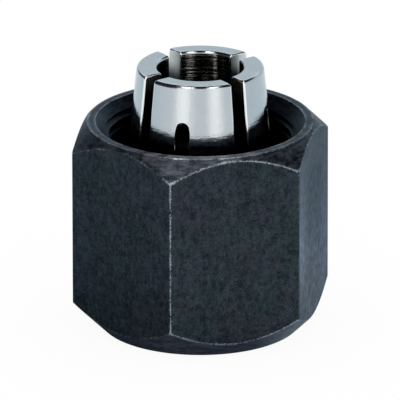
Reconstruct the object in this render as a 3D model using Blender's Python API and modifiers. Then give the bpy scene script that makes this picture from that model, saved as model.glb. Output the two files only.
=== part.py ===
"""Router collet: a slotted spring collet held captive in its hexagon nut.

The assembly stands on the front face of the nut, with its threaded rear end up.
The origin is the middle of that front face, +Z runs along the axis towards the
spindle, two corners of the hexagon lie on the X axis and two flats face the Y axis.

Three pieces are made:
  collet_nut      hexagon nut, turned and bored from hexagon bar
  spring_collet   double cone with slots cut from both ends in turn
  retaining_ring  open wire ring that keeps the collet in the nut and pulls it
                  off the spindle's taper when the nut is undone

All sizes are in metres.
"""

import math

import bmesh
import bpy

MM = 0.001

# Spindle thread in the nut, a fine metric thread drawn at its minor diameter
THREAD_DIAMETER = 20.0 * MM
THREAD_PITCH = 1.0 * MM
THREAD_DEPTH_PER_PITCH = 0.5413
THREAD_RELIEF_DEPTH = 0.2 * MM
THREAD_RELIEF_WIDTH = 1.2 * MM

# Outside of the nut
NUT_WALL = 2.0 * MM
NUT_HEIGHT = 22.0 * MM
NUT_CORNER_RADIUS = 0.4 * MM
REAR_CHAMFER_INSET = 0.34 * MM
FRONT_CHAMFER_INSET = 1.65 * MM
CHAMFER_ANGLE = math.radians(45.0)

# Inside of the nut
MOUTH_OVER_THREAD = 0.83 * MM
MOUTH_ANGLE = math.radians(45.0)
SEAT_ANGLE = math.radians(30.0)
NOSE_HOLE_LENGTH = 2.0 * MM
NOSE_HOLE_CHAMFER = 0.4 * MM
LAND_ABOVE_RING = 0.7 * MM

# Outside of the collet
SPINDLE_NOSE_WALL = 1.01 * MM
COLLET_LENGTH = 27.32 * MM
COLLET_TAPER = math.radians(6.1)
COLLET_NOSE_LENGTH = 1.3 * MM
COLLET_NOSE_WALL = 2.1 * MM
COLLET_NOSE_CHAMFER = 0.3 * MM
COLLAR_LENGTH = 1.5 * MM
PULL_GROOVE_DEPTH = 1.15 * MM
SHOULDER_CHAMFER = 0.2 * MM
REAR_EDGE_HEIGHT = 0.28 * MM
REAR_EDGE_INSET = 0.17 * MM

# Bore of the collet: the wall leaves a clamping bore of 8.0 mm for the cutter's shank
COLLAR_WALL = 4.4487 * MM
REAR_BORE_CLEARANCE = 0.45 * MM
REAR_BORE_DEPTH = 10.0 * MM
BORE_CHAMFER = 0.3 * MM
REAR_BORE_CHAMFER = 0.25 * MM

# Slots of the collet
SLOTS_PER_END = 4
SLOT_WIDTH = 1.45 * MM
REAR_SLOT_BRIDGE = 4.0 * MM
FRONT_SLOT_BRIDGE = 4.05 * MM
REAR_SLOT_TURN = math.radians(19.3)
FRONT_SLOT_TURN = math.radians(57.7)

# Retaining ring
RING_WIRE_DIAMETER = 1.6 * MM
RING_BITE = 0.45 * MM
RING_OPENING = math.radians(26.0)
RING_TURN = math.radians(90.0)

# Fits
SEAT_GAP = 0.3 * MM
RING_GAP = 0.3 * MM
NOSE_CLEARANCE = 0.4 * MM
COLLAR_CLEARANCE = 0.4 * MM
COLLET_FLOAT = 0.4 * MM

# Fineness of the round faces
TURNED_STEPS = 96
CORNER_STEPS = 3
RIM_STEPS = 3
SLOT_END_STEPS = 12
RING_STEPS = 72
CUT_MARGIN = 1.0 * MM
MERGE_DISTANCE = 0.001 * MM
SMOOTH_ANGLE = math.radians(25.0)

# Radii and heights that follow from the sizes above
HEX_SIDES = 6
thread_radius = THREAD_DIAMETER / 2
thread_minor_radius = thread_radius - THREAD_DEPTH_PER_PITCH * THREAD_PITCH
flat_radius = thread_radius + NUT_WALL
corner_radius = flat_radius / math.cos(math.pi / HEX_SIDES)
mouth_radius = thread_radius + MOUTH_OVER_THREAD
relief_radius = thread_radius + THREAD_RELIEF_DEPTH

collar_radius = thread_minor_radius - SPINDLE_NOSE_WALL
clamp_radius = collar_radius - COLLAR_WALL
nose_radius = clamp_radius + COLLET_NOSE_WALL
nose_hole_radius = nose_radius + NOSE_CLEARANCE
land_radius = collar_radius + COLLAR_CLEARANCE
wire_radius = RING_WIRE_DIAMETER / 2
ring_radius = collar_radius - RING_BITE + wire_radius
ring_groove_radius = ring_radius + wire_radius + RING_GAP

seat_slope = math.tan(SEAT_ANGLE)
seat_offset = SEAT_GAP / math.cos(SEAT_ANGLE)
nose_cone_z = NOSE_HOLE_LENGTH + (seat_offset - NOSE_CLEARANCE) / seat_slope
collar_z = nose_cone_z + (collar_radius - nose_radius) / seat_slope
shoulder_z = collar_z + COLLAR_LENGTH
ring_z = shoulder_z + wire_radius + COLLET_FLOAT + RING_GAP
groove_bottom_z = ring_z - wire_radius - RING_GAP
groove_top_z = ring_z + wire_radius + RING_GAP
collet_front_z = nose_cone_z - COLLET_NOSE_LENGTH
collet_rear_z = collet_front_z + COLLET_LENGTH


def clear_scene():
    """Remove what the file opens with."""
    for thing in list(bpy.data.objects):
        bpy.data.objects.remove(thing, do_unlink=True)


def make_collection(name):
    """Add a collection to the scene."""
    made = bpy.data.collections.new(name)
    bpy.context.scene.collection.children.link(made)
    return made


def make_material(name, colour, metallic, roughness):
    """Make a Principled material."""
    made = bpy.data.materials.new(name)
    made.use_nodes = True
    shader = made.node_tree.nodes["Principled BSDF"]
    shader.inputs["Base Color"].default_value = (*colour, 1.0)
    shader.inputs["Metallic"].default_value = metallic
    shader.inputs["Roughness"].default_value = roughness
    made.diffuse_color = (*colour, 1.0)
    return made


def add_object(name, data, where):
    """Put a mesh or curve in a collection as a named object."""
    made = bpy.data.objects.new(name, data)
    where.objects.link(made)
    return made


def hide_cutter(cutter):
    """Show a cutter as wire only."""
    cutter.hide_render = True
    cutter.display_type = "WIRE"
    return cutter


def turned(name, profile, where, closed):
    """Turn a profile about the Z axis.

    The profile is a list of (radius, height) that runs down its outer side. A closed
    profile stays off the axis and makes a tube, an open one starts and ends on it.
    """
    mesh = bpy.data.meshes.new(name)
    corners = [(radius, 0.0, height) for radius, height in profile]
    edges = [(i, i + 1) for i in range(len(corners) - 1)]
    if closed:
        edges.append((len(corners) - 1, 0))
    mesh.from_pydata(corners, edges, [])
    made = add_object(name, mesh, where)
    screw = made.modifiers.new("Turn", "SCREW")
    screw.axis = "Z"
    screw.angle = math.tau
    screw.steps = TURNED_STEPS
    screw.render_steps = TURNED_STEPS
    screw.use_merge_vertices = True
    screw.merge_threshold = MERGE_DISTANCE
    return made


def combine(piece, other, operation):
    """Cut a piece with another, or keep what the two share."""
    boolean = piece.modifiers.new(f"{operation.title()} {other.name}", "BOOLEAN")
    boolean.operation = operation
    boolean.solver = "EXACT"
    boolean.object = other


def settle(piece, material):
    """Make the modifiers' result the piece's own mesh, with its round sides smooth."""
    depsgraph = bpy.context.evaluated_depsgraph_get()
    mesh = bpy.data.meshes.new_from_object(piece.evaluated_get(depsgraph))
    piece.modifiers.clear()
    piece.data = mesh
    mesh.name = piece.name
    mesh.shade_smooth()
    mesh.set_sharp_from_angle(angle=SMOOTH_ANGLE)
    mesh.materials.clear()
    mesh.materials.append(material)


def hexagon_bar(name, where):
    """Hexagon bar longer than the nut, with its six long corners rounded."""
    shape = bmesh.new()
    bmesh.ops.create_cone(
        shape,
        cap_ends=True,
        segments=HEX_SIDES,
        radius1=corner_radius,
        radius2=corner_radius,
        depth=NUT_HEIGHT + 2 * CUT_MARGIN,
    )
    for corner in shape.verts:
        x, y, z = corner.co
        turn = math.pi / HEX_SIDES
        corner.co.x = x * math.cos(turn) - y * math.sin(turn)
        corner.co.y = x * math.sin(turn) + y * math.cos(turn)
        corner.co.z = z + NUT_HEIGHT / 2
    long_edges = [
        edge for edge in shape.edges
        if abs(edge.verts[0].co.z - edge.verts[1].co.z) > NUT_HEIGHT / 2
    ]
    bmesh.ops.bevel(
        shape,
        geom=long_edges,
        offset=NUT_CORNER_RADIUS * math.tan(math.pi / HEX_SIDES),
        segments=CORNER_STEPS,
        profile=0.5,
        affect="EDGES",
    )
    mesh = bpy.data.meshes.new(name)
    shape.to_mesh(mesh)
    shape.free()
    return add_object(name, mesh, where)


def nut_envelope_profile():
    """Outside of the turned blank: both ends chamfered past the corners of the hexagon."""
    rear_radius = flat_radius - REAR_CHAMFER_INSET
    front_radius = flat_radius - FRONT_CHAMFER_INSET
    outer_radius = corner_radius + CUT_MARGIN
    slope = math.tan(CHAMFER_ANGLE)
    return [
        (0.0, NUT_HEIGHT),
        (rear_radius, NUT_HEIGHT),
        (outer_radius, NUT_HEIGHT - (outer_radius - rear_radius) * slope),
        (outer_radius, (outer_radius - front_radius) * slope),
        (front_radius, 0.0),
        (0.0, 0.0),
    ]


def nut_cavity_profile():
    """Inside of the nut from the mouth of the thread down to the nose hole."""
    mouth_slope = math.tan(MOUTH_ANGLE)
    beyond_mouth = mouth_radius + CUT_MARGIN / mouth_slope
    thread_top_z = NUT_HEIGHT - (mouth_radius - thread_minor_radius) * mouth_slope
    land_top_z = groove_top_z + LAND_ABOVE_RING
    relief_bottom_z = land_top_z + (relief_radius - land_radius)
    relief_top_z = relief_bottom_z + THREAD_RELIEF_WIDTH
    thread_bottom_z = relief_top_z + (relief_radius - thread_minor_radius)
    seat_top_z = NOSE_HOLE_LENGTH + (land_radius - nose_hole_radius) / seat_slope
    front_edge = NOSE_HOLE_CHAMFER + CUT_MARGIN
    return [
        (0.0, NUT_HEIGHT + CUT_MARGIN),
        (beyond_mouth, NUT_HEIGHT + CUT_MARGIN),
        (thread_minor_radius, thread_top_z),
        (thread_minor_radius, thread_bottom_z),
        (relief_radius, relief_top_z),
        (relief_radius, relief_bottom_z),
        (land_radius, land_top_z),
        (land_radius, groove_top_z),
        (ring_groove_radius, groove_top_z),
        (ring_groove_radius, groove_bottom_z),
        (land_radius, groove_bottom_z),
        (land_radius, seat_top_z),
        (nose_hole_radius, NOSE_HOLE_LENGTH),
        (nose_hole_radius, NOSE_HOLE_CHAMFER),
        (nose_hole_radius + front_edge, -CUT_MARGIN),
        (0.0, -CUT_MARGIN),
    ]


def build_nut(parts, cutters, material):
    """Hexagon nut: bar turned to its envelope, then bored out."""
    nut = hexagon_bar("collet_nut", parts)
    envelope = hide_cutter(turned("nut_envelope", nut_envelope_profile(), cutters, False))
    cavity = hide_cutter(turned("nut_cavity", nut_cavity_profile(), cutters, False))
    combine(nut, envelope, "INTERSECT")
    combine(nut, cavity, "DIFFERENCE")
    settle(nut, material)
    return nut


def collet_profile():
    """Section of the collet, down the outside and back up the bore."""
    rear_bore_radius = clamp_radius + REAR_BORE_CLEARANCE
    rear_edge_z = collet_rear_z - REAR_EDGE_HEIGHT
    rear_radius = collar_radius - (rear_edge_z - groove_top_z) * math.tan(COLLET_TAPER)
    groove_floor = collar_radius - PULL_GROOVE_DEPTH
    step_z = collet_rear_z - REAR_BORE_DEPTH
    rear_wall = rear_radius - rear_bore_radius
    rim_inset = min(REAR_EDGE_INSET, rear_wall / 3)
    rear_chamfer = min(REAR_BORE_CHAMFER, rear_wall / 3)
    rim = []
    for i in range(RIM_STEPS + 1):
        angle = math.pi / 2 * i / RIM_STEPS
        rim.append((rear_radius - rim_inset * (1 - math.sin(angle)),
                    rear_edge_z + REAR_EDGE_HEIGHT * math.cos(angle)))
    return rim + [
        (collar_radius, groove_top_z),
        (groove_floor, groove_top_z),
        (groove_floor, shoulder_z),
        (collar_radius - SHOULDER_CHAMFER, shoulder_z),
        (collar_radius, shoulder_z - SHOULDER_CHAMFER),
        (collar_radius, collar_z),
        (nose_radius, nose_cone_z),
        (nose_radius, collet_front_z + COLLET_NOSE_CHAMFER),
        (nose_radius - COLLET_NOSE_CHAMFER, collet_front_z),
        (clamp_radius + BORE_CHAMFER, collet_front_z),
        (clamp_radius, collet_front_z + BORE_CHAMFER),
        (clamp_radius, step_z - REAR_BORE_CLEARANCE),
        (rear_bore_radius, step_z),
        (rear_bore_radius, collet_rear_z - rear_chamfer),
        (rear_bore_radius + rear_chamfer, collet_rear_z),
    ]


def slot_cutter(name, turn, open_z, end_z, where):
    """Radial cutter for one slot, open at one end and round at the other.

    Its outline lies in the plane of the slot's width and height, and it is extruded
    from the axis out past the collar.
    """
    half = SLOT_WIDTH / 2
    up = 1.0 if end_z > open_z else -1.0
    centre_z = end_z - up * half
    outline = [(-half, open_z), (half, open_z)]
    for i in range(SLOT_END_STEPS + 1):
        angle = math.pi * i / SLOT_END_STEPS
        outline.append((half * math.cos(angle), centre_z + up * half * math.sin(angle)))
    reach = collar_radius + CUT_MARGIN
    shape = bmesh.new()
    inner = [shape.verts.new((0.0, width, height)) for width, height in outline]
    face = shape.faces.new(inner)
    grown = bmesh.ops.extrude_face_region(shape, geom=[face])
    for item in grown["geom"]:
        if isinstance(item, bmesh.types.BMVert):
            item.co.x += reach
    bmesh.ops.recalc_face_normals(shape, faces=shape.faces)
    mesh = bpy.data.meshes.new(name)
    shape.to_mesh(mesh)
    shape.free()
    cutter = add_object(name, mesh, where)
    cutter.rotation_euler.z = turn
    return hide_cutter(cutter)


def build_collet(parts, cutters, material):
    """Spring collet: a turned double cone, slotted from both ends in turn."""
    collet = turned("spring_collet", collet_profile(), parts, True)
    front_open_z = collet_front_z - CUT_MARGIN
    rear_open_z = collet_rear_z + CUT_MARGIN
    rear_slot_end_z = collet_front_z + REAR_SLOT_BRIDGE
    front_slot_end_z = collet_rear_z - FRONT_SLOT_BRIDGE
    for i in range(SLOTS_PER_END):
        step = math.tau * i / SLOTS_PER_END
        rear = slot_cutter(f"rear_slot_{i + 1}", REAR_SLOT_TURN + step,
                           rear_open_z, rear_slot_end_z, cutters)
        front = slot_cutter(f"front_slot_{i + 1}", FRONT_SLOT_TURN + step,
                            front_open_z, front_slot_end_z, cutters)
        combine(collet, rear, "DIFFERENCE")
        combine(collet, front, "DIFFERENCE")
    settle(collet, material)
    return collet


def build_ring(parts, material):
    """Retaining ring: round wire bent to an open circle."""
    curve = bpy.data.curves.new("retaining_ring", "CURVE")
    curve.dimensions = "3D"
    curve.bevel_depth = wire_radius
    curve.bevel_resolution = 2
    curve.use_fill_caps = True
    spline = curve.splines.new("POLY")
    spline.points.add(RING_STEPS)
    sweep = math.tau - RING_OPENING
    for i, point in enumerate(spline.points):
        angle = RING_TURN + RING_OPENING / 2 + sweep * i / RING_STEPS
        point.co = (ring_radius * math.cos(angle), ring_radius * math.sin(angle), 0.0, 1.0)
    curve.materials.append(material)
    ring = add_object("retaining_ring", curve, parts)
    ring.location.z = ring_z
    return ring


def build():
    """Make the three pieces."""
    clear_scene()
    parts = make_collection("router_collet")
    cutters = make_collection("router_collet_cutters")
    black_steel = make_material("black_oxide_steel", (0.030, 0.034, 0.040), 0.55, 0.45)
    ground_steel = make_material("ground_steel", (0.70, 0.72, 0.74), 1.0, 0.14)
    wire_steel = make_material("spring_wire", (0.30, 0.31, 0.32), 1.0, 0.30)
    build_nut(parts, cutters, black_steel)
    build_collet(parts, cutters, ground_steel)
    build_ring(parts, wire_steel)


build()
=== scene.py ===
# %% [markdown]
# # A router collet in its nut
# A router collet is a slotted steel sleeve that grips the shank of a cutter.
# Here it sits captive in its hexagon nut, which stands on its front face with
# the threaded end up. The solids already exist, so this lesson dresses them:
# three finer skins take their places, and each gets the finish of real metal.
#
# The first cell loads the solids as a fixed frame and keeps their size, so that
# the skins can be compared with it at the end.

# %% Load the solids
import math

import bmesh
import bpy
import numpy as np
from mathutils import Matrix, Vector


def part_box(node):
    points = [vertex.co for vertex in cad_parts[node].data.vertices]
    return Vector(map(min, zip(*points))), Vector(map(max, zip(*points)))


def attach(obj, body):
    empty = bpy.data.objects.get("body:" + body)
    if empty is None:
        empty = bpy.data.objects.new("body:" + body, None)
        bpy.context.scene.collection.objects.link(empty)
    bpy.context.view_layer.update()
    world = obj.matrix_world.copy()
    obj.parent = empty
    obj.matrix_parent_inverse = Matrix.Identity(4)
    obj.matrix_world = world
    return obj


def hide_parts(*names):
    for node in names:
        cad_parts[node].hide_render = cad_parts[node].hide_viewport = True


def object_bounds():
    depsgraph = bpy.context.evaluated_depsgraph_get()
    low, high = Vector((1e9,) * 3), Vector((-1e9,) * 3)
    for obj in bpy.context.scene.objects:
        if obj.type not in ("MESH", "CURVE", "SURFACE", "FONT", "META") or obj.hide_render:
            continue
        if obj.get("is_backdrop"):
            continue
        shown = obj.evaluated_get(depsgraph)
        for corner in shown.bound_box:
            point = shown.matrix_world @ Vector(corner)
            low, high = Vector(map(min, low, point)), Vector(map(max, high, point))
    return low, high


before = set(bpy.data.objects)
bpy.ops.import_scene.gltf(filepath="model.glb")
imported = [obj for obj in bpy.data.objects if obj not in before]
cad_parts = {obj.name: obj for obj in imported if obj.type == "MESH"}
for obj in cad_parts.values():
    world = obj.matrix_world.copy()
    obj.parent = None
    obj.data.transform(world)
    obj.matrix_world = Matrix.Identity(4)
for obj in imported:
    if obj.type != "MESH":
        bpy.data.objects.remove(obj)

cad_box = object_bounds()
for node in sorted(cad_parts):
    low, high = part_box(node)
    print(node, "is", [round((b - a) * 1000, 2) for a, b in zip(low, high)], "mm")

# %% [markdown]
# ## Camera
# The photo was taken from far away with a long lens: the two ends of the hexagon
# are nearly the same width in it. A camera 1300 mm off that sees a field of
# 41.3 mm gives the same view. It stands 17 degrees to the left of the front flat
# and looks down by 20.4 degrees. Instead of shifting the lens, the camera aims a
# little above the middle of the nut, and a hair to the left of its axis.

# %% Place the camera
MM = 0.001
VIEW_TURN = math.radians(-16.94)
VIEW_RISE = math.radians(20.36)
VIEW_ROLL = math.radians(0.083)
VIEW_DISTANCE = 1300 * MM
FIELD_WIDTH = 41.333 * MM
AIM_HEIGHT, AIM_LEFT = 13.210, 0.050

back = Vector((math.sin(VIEW_TURN) * math.cos(VIEW_RISE),
               -math.cos(VIEW_TURN) * math.cos(VIEW_RISE),
               math.sin(VIEW_RISE)))
right = Vector((math.cos(VIEW_TURN), math.sin(VIEW_TURN), 0))
up = back.cross(right)
aim = Vector((0, 0, AIM_HEIGHT * MM)) - right * AIM_LEFT * MM
tilted_right = right * math.cos(VIEW_ROLL) - up * math.sin(VIEW_ROLL)
tilted_up = right * math.sin(VIEW_ROLL) + up * math.cos(VIEW_ROLL)

lens = bpy.data.cameras.new("camera")
lens.sensor_width = 36
lens.lens = lens.sensor_width * VIEW_DISTANCE / FIELD_WIDTH
lens.clip_start, lens.clip_end = 0.1, 10
camera = bpy.data.objects.new("camera", lens)
bpy.context.scene.collection.objects.link(camera)
camera.matrix_world = Matrix.Translation(aim + back * VIEW_DISTANCE) @ Matrix(
    (tilted_right, tilted_up, back)).transposed().to_4x4()
bpy.context.scene.camera = camera
bpy.context.scene.view_settings.view_transform = "Standard"
print("camera: focal length", round(lens.lens), "mm, from", round(VIEW_DISTANCE / MM), "mm")

# %% [markdown]
# ## Shader sums
# Finishes are easier to read as sums than as a web of nodes. This small class
# holds one output socket. Plus, minus and times after it add a Math node, and so
# does a minus between a plain number and it. Every other node comes from its
# node method, which sets the node's own settings first and its sockets after.

# %% A class for node sums
class Link:
    """One output socket of a node, on which sums can be written."""

    def __init__(self, tree, socket=None):
        self.tree = tree
        self.socket = socket

    def node(self, kind, settings=None, sockets=None, output=0):
        """Adds a node: its settings first, then the values or links of its sockets."""
        made = self.tree.nodes.new(kind)
        for name, value in (settings or {}).items():
            setattr(made, name, value)
        for name, value in (sockets or {}).items():
            if isinstance(value, Link):
                self.tree.links.new(value.socket, made.inputs[name])
            else:
                made.inputs[name].default_value = value
        return Link(self.tree, made.outputs[output])

    def maths(self, operation, first, second):
        """One Math node on two numbers or sockets."""
        return self.node("ShaderNodeMath", {"operation": operation}, {0: first, 1: second})

    def __add__(self, other):
        return self.maths("ADD", self, other)

    def __sub__(self, other):
        return self.maths("SUBTRACT", self, other)

    def __rsub__(self, other):
        return self.maths("SUBTRACT", other, self)

    def __mul__(self, other):
        return self.maths("MULTIPLY", self, other)


print("sums on sockets ready:", [name.strip("_") for name in vars(Link)
                                 if name.endswith(("add__", "sub__", "mul__"))])

# %% [markdown]
# Five helpers stand on this class. One starts an empty material and one ends it.
# The other three are what most finishes are made of: a smooth climb from 0 to 1
# between two values, a value kept between 0 and 1, and a colour between two
# others.

# %% Helpers for materials
def new_finish(name):
    """An empty material, and a link to start its nodes from."""
    material = bpy.data.materials.new(name)
    material.use_nodes = True
    material.node_tree.nodes.clear()
    return material, Link(material.node_tree)


def show(start, shader, kind="ShaderNodeOutputMaterial"):
    """Ends a material or a world with its output node."""
    end = start.tree.nodes.new(kind)
    start.tree.links.new(shader.socket, end.inputs["Surface"])


def ramp(value, low, high):
    """0 below low, 1 above high and a smooth climb between. Works downwards too."""
    return value.node("ShaderNodeMapRange", {"interpolation_type": "SMOOTHSTEP"}, {
        "Value": value, "From Min": low, "From Max": high})


def limited(value):
    """The value, kept between 0 and 1."""
    return value.node("ShaderNodeClamp", sockets={"Value": value})


def blended(share, first, second):
    """A colour between two others."""
    return share.node("ShaderNodeMix", {"data_type": "RGBA"},
                      {0: share, 6: first, 7: second}, output=2)


print("helpers ready:", [f.__name__ for f in (new_finish, show, ramp, limited, blended)])

# %% [markdown]
# ## Studio
# The part stands on a white table in a white room. What the camera sees of both
# is white, set with Light Path, so no extra light falls on the part to make it
# so. The table keeps a part of its ordinary diffuse finish, and with it the
# faint shadow of the nut. Diffuse light is the same from everywhere, at a
# strength of about 1, so a colour renders as it is written.
#
# Gloss sees more than that, because polished steel looks like steel only if the
# room has dark places too. Two helpers tell them apart: one finds the rays of
# the camera, of gloss and of glass, the other how far a place lies in some
# direction, seen from above.

# %% Helpers for the table and the room
def seen_directly(start):
    """1 for rays from the camera, off gloss or through glass, 0 for the rest."""
    rays = [start.node("ShaderNodeLightPath", output=name)
            for name in ("Is Camera Ray", "Is Glossy Ray", "Is Transmission Ray")]
    return rays[0] + rays[1] + rays[2]


def towards(start, place, aim):
    """Seen from above, how far a place lies in a direction: 1 in it, 0 beside, -1 opposite."""
    level = start.node("ShaderNodeVectorMath", {"operation": "MULTIPLY"}, {0: place, 1: (1, 1, 0)})
    return start.node("ShaderNodeVectorMath", {"operation": "DOT_PRODUCT"}, {
        0: start.node("ShaderNodeVectorMath", {"operation": "NORMALIZE"}, {0: level}),
        1: Vector((aim.x, aim.y, 0)).normalized()}, output="Value")


print("towards the camera is", round(math.degrees(math.atan2(back.y, back.x)), 1), "degrees round")

# %% [markdown]
# In reflections the table is white only in front of the part. Beside it the
# table carries painted shade: it is grey, darker at the left and behind than at
# the right, and darkest right under the part, where it is a painted shadow of
# the part. The nut's upright faces mirror these places at a low angle, which
# gives each face its own shade. Every place ends in a soft border, because a
# hard one would leave a line in the steel.

# %% White table
TABLE_SIZE = 3.0
TABLE_DROP = 0.01 * MM
SHADOW_SHARE = 0.06
WHITE = (1.0, 1.0, 1.0, 1)
# Painted shadow of the part under it, and painted shade beside it, seen only in reflections
SHADOW_UNDER_PART = (0.17, 0.20, 0.25, 1)
SHADOW_UNDER_RIGHT = (0.56, 0.62, 0.70, 1)
SHADOW_UNDER_LEFT = (0.05, 0.07, 0.11, 1)
NEAR_LEFT = (0.24, 0.32, 0.42, 1)
NEAR_RIGHT = (0.74, 0.87, 1.00, 1)
NEAR_BACK = (0.22, 0.28, 0.34, 1)
FAR_SIDES = (0.79, 0.87, 0.91, 1)
# Where the soft borders start and end: in directions as towards() gives them, or in distance
BACK_TO_SIDES, SIDES_TO_FRONT = (-0.85, -0.6), (-0.1, 0.85)
LEFT_TO_RIGHT = (-0.7, 0.5)
MIDDLE_TO_RIGHT, MIDDLE_TO_LEFT = (0.45, 0.85), (-0.2, -0.7)
UNDER_TO_NEAR, NEAR_TO_FAR = (10 * MM, 30 * MM), (64 * MM, 80 * MM)
UNDER_WIDER_LEFT = 9 * MM

bpy.ops.mesh.primitive_plane_add(size=TABLE_SIZE, location=(0, 0, -TABLE_DROP))
table = bpy.context.object
table.name = "table"
table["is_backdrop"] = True
table_finish, start = new_finish("table_white")
place = start.node("ShaderNodeTexCoord", output="Object")
distance = start.node("ShaderNodeVectorMath", {"operation": "LENGTH"}, {0: place}, output="Value")
to_camera = towards(start, place, back)
to_right = towards(start, place, right)
at_left = ramp(to_right, *MIDDLE_TO_LEFT)
# Painted shadow under the part, and painted shade beside it, darker at the left and behind
under = blended(ramp(to_right, *MIDDLE_TO_RIGHT), SHADOW_UNDER_PART, SHADOW_UNDER_RIGHT)
under = blended(at_left, under, SHADOW_UNDER_LEFT)
near = blended(ramp(to_camera, *BACK_TO_SIDES), NEAR_BACK, NEAR_RIGHT)
near = blended(ramp(to_right, *LEFT_TO_RIGHT), NEAR_LEFT, near)
sides = blended(ramp(distance, *NEAR_TO_FAR), near, FAR_SIDES)
mirrored = blended(ramp(to_camera, *SIDES_TO_FRONT), sides, WHITE)
mirrored = blended(ramp(distance - at_left * UNDER_WIDER_LEFT, *UNDER_TO_NEAR), under, mirrored)
glossy = start.node("ShaderNodeLightPath", output="Is Glossy Ray")
white = start.node("ShaderNodeEmission", sockets={"Color": blended(glossy, WHITE, mirrored)})
matt = start.node("ShaderNodeBsdfDiffuse", sockets={"Color": WHITE})
show(start, start.node("ShaderNodeMixShader", sockets={
    0: seen_directly(start) * (1 - SHADOW_SHARE), 1: matt, 2: white}))
table.data.materials.append(table_finish)
print("table of", TABLE_SIZE, "m,", round(TABLE_DROP / MM, 2), "mm under the part")

# %% [markdown]
# The room is a world that is coloured by direction. In reflections the wall in
# front of the part is white, the wall behind it light grey and brighter high up,
# the one at its left dark, and over them the ceiling is nearly black. In front
# and behind the ceiling starts a little higher than at the sides.

# %% White room
WALL_BACK = (0.70, 0.77, 0.81, 1)
WALL_LEFT = (0.05, 0.07, 0.09, 1)
CEILING = (0.012, 0.014, 0.016, 1)
HIGH_BACK = (1.05, 1.10, 1.13, 1)
FRONT_WALL, BACK_WALL, LEFT_WALL = (0.1, 0.9), (-0.55, -0.95), (0.3, 0.75)
HIGH_PART, CEILING_START = (0.38, 0.50), (0.38, 0.52)
HIGHER_BEHIND, HIGHER_IN_FRONT = 0.16, 0.18

room = bpy.data.worlds.new("room")
room.use_nodes = True
room.node_tree.nodes.clear()
bpy.context.scene.world = room
start = Link(room.node_tree)
way = start.node("ShaderNodeTexCoord", output="Generated")
height = start.node("ShaderNodeSeparateXYZ", sockets={0: way}, output="Z")
to_camera = towards(start, way, back)
in_front = ramp(to_camera, *FRONT_WALL)
behind = ramp(to_camera, *BACK_WALL)
mirrored = blended(in_front, WALL_BACK, WHITE)
mirrored = blended(ramp(towards(start, way, -right), *LEFT_WALL), mirrored, WALL_LEFT)
mirrored = blended(ramp(height, *HIGH_PART) * behind, mirrored, HIGH_BACK)
over_walls = height - behind * HIGHER_BEHIND - in_front * HIGHER_IN_FRONT
mirrored = blended(ramp(over_walls, *CEILING_START), mirrored, CEILING)
glossy = start.node("ShaderNodeLightPath", output="Is Glossy Ray")
seen = start.node("ShaderNodeBackground", sockets={"Color": blended(glossy, WHITE, mirrored)})
plain = start.node("ShaderNodeBackground", sockets={"Color": WHITE})
show(start, start.node("ShaderNodeMixShader", sockets={
    0: seen_directly(start), 1: plain, 2: seen}), "ShaderNodeOutputWorld")
print("white room with", len(room.node_tree.nodes), "nodes")

# %% [markdown]
# ## Lamps
# The lamps are glowing cards that fade out towards their sides, because a lamp
# with a hard border would leave a hard band in the steel. Some fade at their ends
# as well: a strong lamp that ends suddenly leaves grain on steel that just misses
# it. Neither the camera nor matt surfaces see the cards, so they shape
# reflections and leave the plain light as it is.

# %% A card that glows
CARD_COLOUR = (1.0, 0.95, 0.92, 1)


def glowing_card(name, place, turning, width, length, glow, soft_ends):
    """A card that glows most along its middle and lets light through at its sides."""
    bpy.ops.mesh.primitive_plane_add(size=1, location=place, rotation=turning)
    card = bpy.context.object
    card.name = name
    card.scale = (width, length, 1)
    card.visible_camera = card.visible_diffuse = False
    card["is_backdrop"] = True
    finish, start = new_finish(name)
    spot = start.node("ShaderNodeTexCoord", output="Object")
    across, along = [start.node("ShaderNodeSeparateXYZ", sockets={0: spot}, output=axis)
                     for axis in "XY"]
    # Across and along run from -0.5 to 0.5, so both shares end at 0
    share = 1 - across * across * 4
    share = share * share
    if soft_ends:
        share = share * (1 - along * along * along * along * 16)
    clear = start.node("ShaderNodeBsdfTransparent")
    light = start.node("ShaderNodeEmission", sockets={"Color": CARD_COLOUR, "Strength": glow})
    show(start, start.node("ShaderNodeMixShader", sockets={0: share, 1: clear, 2: light}))
    card.data.materials.append(finish)
    print(name, "at", [round(v / MM) for v in place], "mm")


print("cards glow in", CARD_COLOUR[:3])

# %% [markdown]
# Bright steel shows its lamps as bands. The two soft bands on the collet's front
# finger come from two upright strips, a wider one left of the camera and a
# narrower one right of it. A cone's side reflects what lies twice as far round
# as the side itself has turned, so the strips' places follow from those of the
# bands. Two more strips hang overhead, in front of the part, and these fade at
# their ends too. They give the rounded rims white patches in line with the
# bands, with dark ceiling between them, and light the nut's upper chamfer. Right
# over the part the ceiling stays dark, and so does the mouth of the nut, which
# the collet's foot mirrors.

# %% Two upright strips and two overhead
STRIP_TOP = 260 * MM
STRIP_DISTANCE = 120 * MM
OVERHEAD_GLOW = 11.0
OVERHEAD_LENGTH = 200 * MM
OVERHEAD_FORWARD = 85
OVERHEAD_NARROWED = 0.7


def glowing_strip(name, turn, width, glow, across):
    """An upright card at an angle from the camera's direction, and one over the table."""
    angle = math.radians(turn) - math.pi / 2 + VIEW_TURN
    foot = STRIP_DISTANCE * math.cos(angle), STRIP_DISTANCE * math.sin(angle)
    glowing_card(name, (*foot, STRIP_TOP / 2 + MM), (math.pi / 2, 0, angle + math.pi / 2),
                 width, STRIP_TOP, glow, False)
    middle = right * across + Vector((back.x, back.y, 0)) * OVERHEAD_FORWARD * MM
    glowing_card(name + "_overhead", (middle.x, middle.y, STRIP_TOP),
                 (0, 0, VIEW_TURN + math.radians(turn) / 4),
                 width * OVERHEAD_NARROWED, OVERHEAD_LENGTH, OVERHEAD_GLOW, True)


glowing_strip("strip_left", -28.4, 95 * MM, 1.68, -62 * MM)
glowing_strip("strip_right", 25.0, 80 * MM, 1.60, 62 * MM)

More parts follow.
